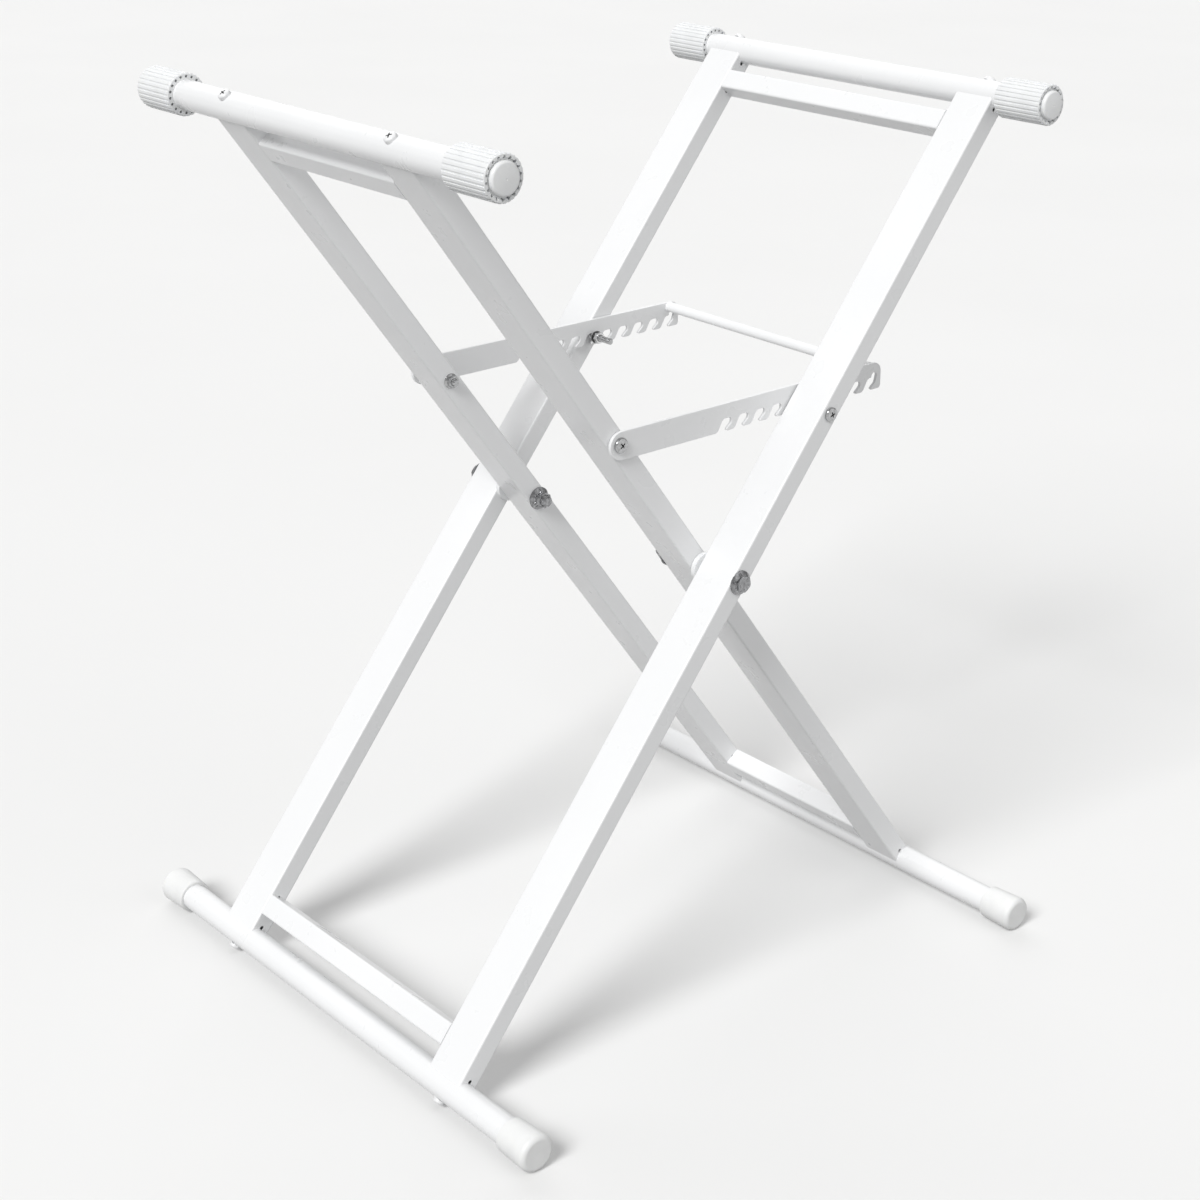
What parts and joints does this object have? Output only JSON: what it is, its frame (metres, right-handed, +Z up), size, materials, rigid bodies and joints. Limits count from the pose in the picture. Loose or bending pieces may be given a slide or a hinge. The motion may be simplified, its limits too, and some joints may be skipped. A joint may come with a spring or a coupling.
{
  "type": "folding x-shaped stand",
  "caption": "Folding X-shaped tube stand whose crossed frames pivot at the middle and are held open by slotted lock arms, with fluted grips on top and capped tubes on the floor.",
  "frame": {"origin": "on the floor under the middle of the open stand", "axes": "+Z up; +Y along the round tubes; +X the way the stand opens, towards the top of the outer frame"},
  "size_m": [0.6336, 0.57, 0.8152],
  "materials": {
    "frame_paint": "white semi-gloss powder coat",
    "painted_screws": "white semi-gloss powder coat",
    "insert_metal": "as cast",
    "grip_plastic": "fluted, satin white",
    "plug_plastic": "smooth semi-gloss white",
    "foot_plastic": "matte white",
    "spacer_plastic": "satin white",
    "pivot_metal": "zinc plated, slightly dark",
    "bright_metal": "bright zinc plated",
    "dark_metal": "dark spring steel"
  },
  "bodies": {
    "outer_frame": {"outer_leg_near": "frame_paint", "outer_leg_far": "frame_paint", "outer_upper_crossbar": "frame_paint", "outer_lower_crossbar": "frame_paint", "outer_top_tube": "frame_paint", "outer_bottom_tube": "frame_paint", "outer_leg_inserts": "insert_metal", "outer_tube_screws": "painted_screws", "outer_grip_near": "grip_plastic", "outer_plug_near": "plug_plastic", "outer_foot_near": "foot_plastic", "outer_grip_far": "grip_plastic", "outer_plug_far": "plug_plastic", "outer_foot_far": "foot_plastic", "pivot_bolts": "pivot_metal", "pivot_nuts": "pivot_metal", "pivot_spacers": "spacer_plastic", "lock_pin_bolts": "bright_metal", "lock_pin_spacers": "bright_metal", "lock_pin_washers": "dark_metal", "lock_pin_nuts": "bright_metal"},
    "inner_frame": {"inner_leg_near": "frame_paint", "inner_leg_far": "frame_paint", "inner_upper_crossbar": "frame_paint", "inner_lower_crossbar": "frame_paint", "inner_top_tube": "frame_paint", "inner_bottom_tube": "frame_paint", "inner_leg_inserts": "insert_metal", "inner_tube_screws": "painted_screws", "inner_grip_near": "grip_plastic", "inner_plug_near": "plug_plastic", "inner_foot_near": "foot_plastic", "inner_grip_far": "grip_plastic", "inner_plug_far": "plug_plastic", "inner_foot_far": "foot_plastic", "arm_pivot_bolts": "bright_metal", "arm_pivot_washers": "spacer_plastic", "arm_pivot_nuts": "bright_metal"},
    "lock_arms": {"lock_arm_near": "frame_paint", "lock_arm_far": "frame_paint", "lock_arm_rod": "frame_paint"}
  },
  "joints": [
    {"name": "x_fold", "type": "hinge", "parent": "outer_frame", "child": "inner_frame", "pos_m": [0, 0, 0.40721], "axis": [0, 1, 0], "range_deg": [0, 65]},
    {"name": "arm_lift", "type": "hinge", "parent": "inner_frame", "child": "lock_arms", "pos_m": [-0.10154, 0, 0.5398], "axis": [0, -1, 0], "range_deg": [0, 71.6]}
  ],
  "couplings": [
    {"joint": "arm_lift", "follows": "x_fold", "ratio": 1.1}
  ]
}
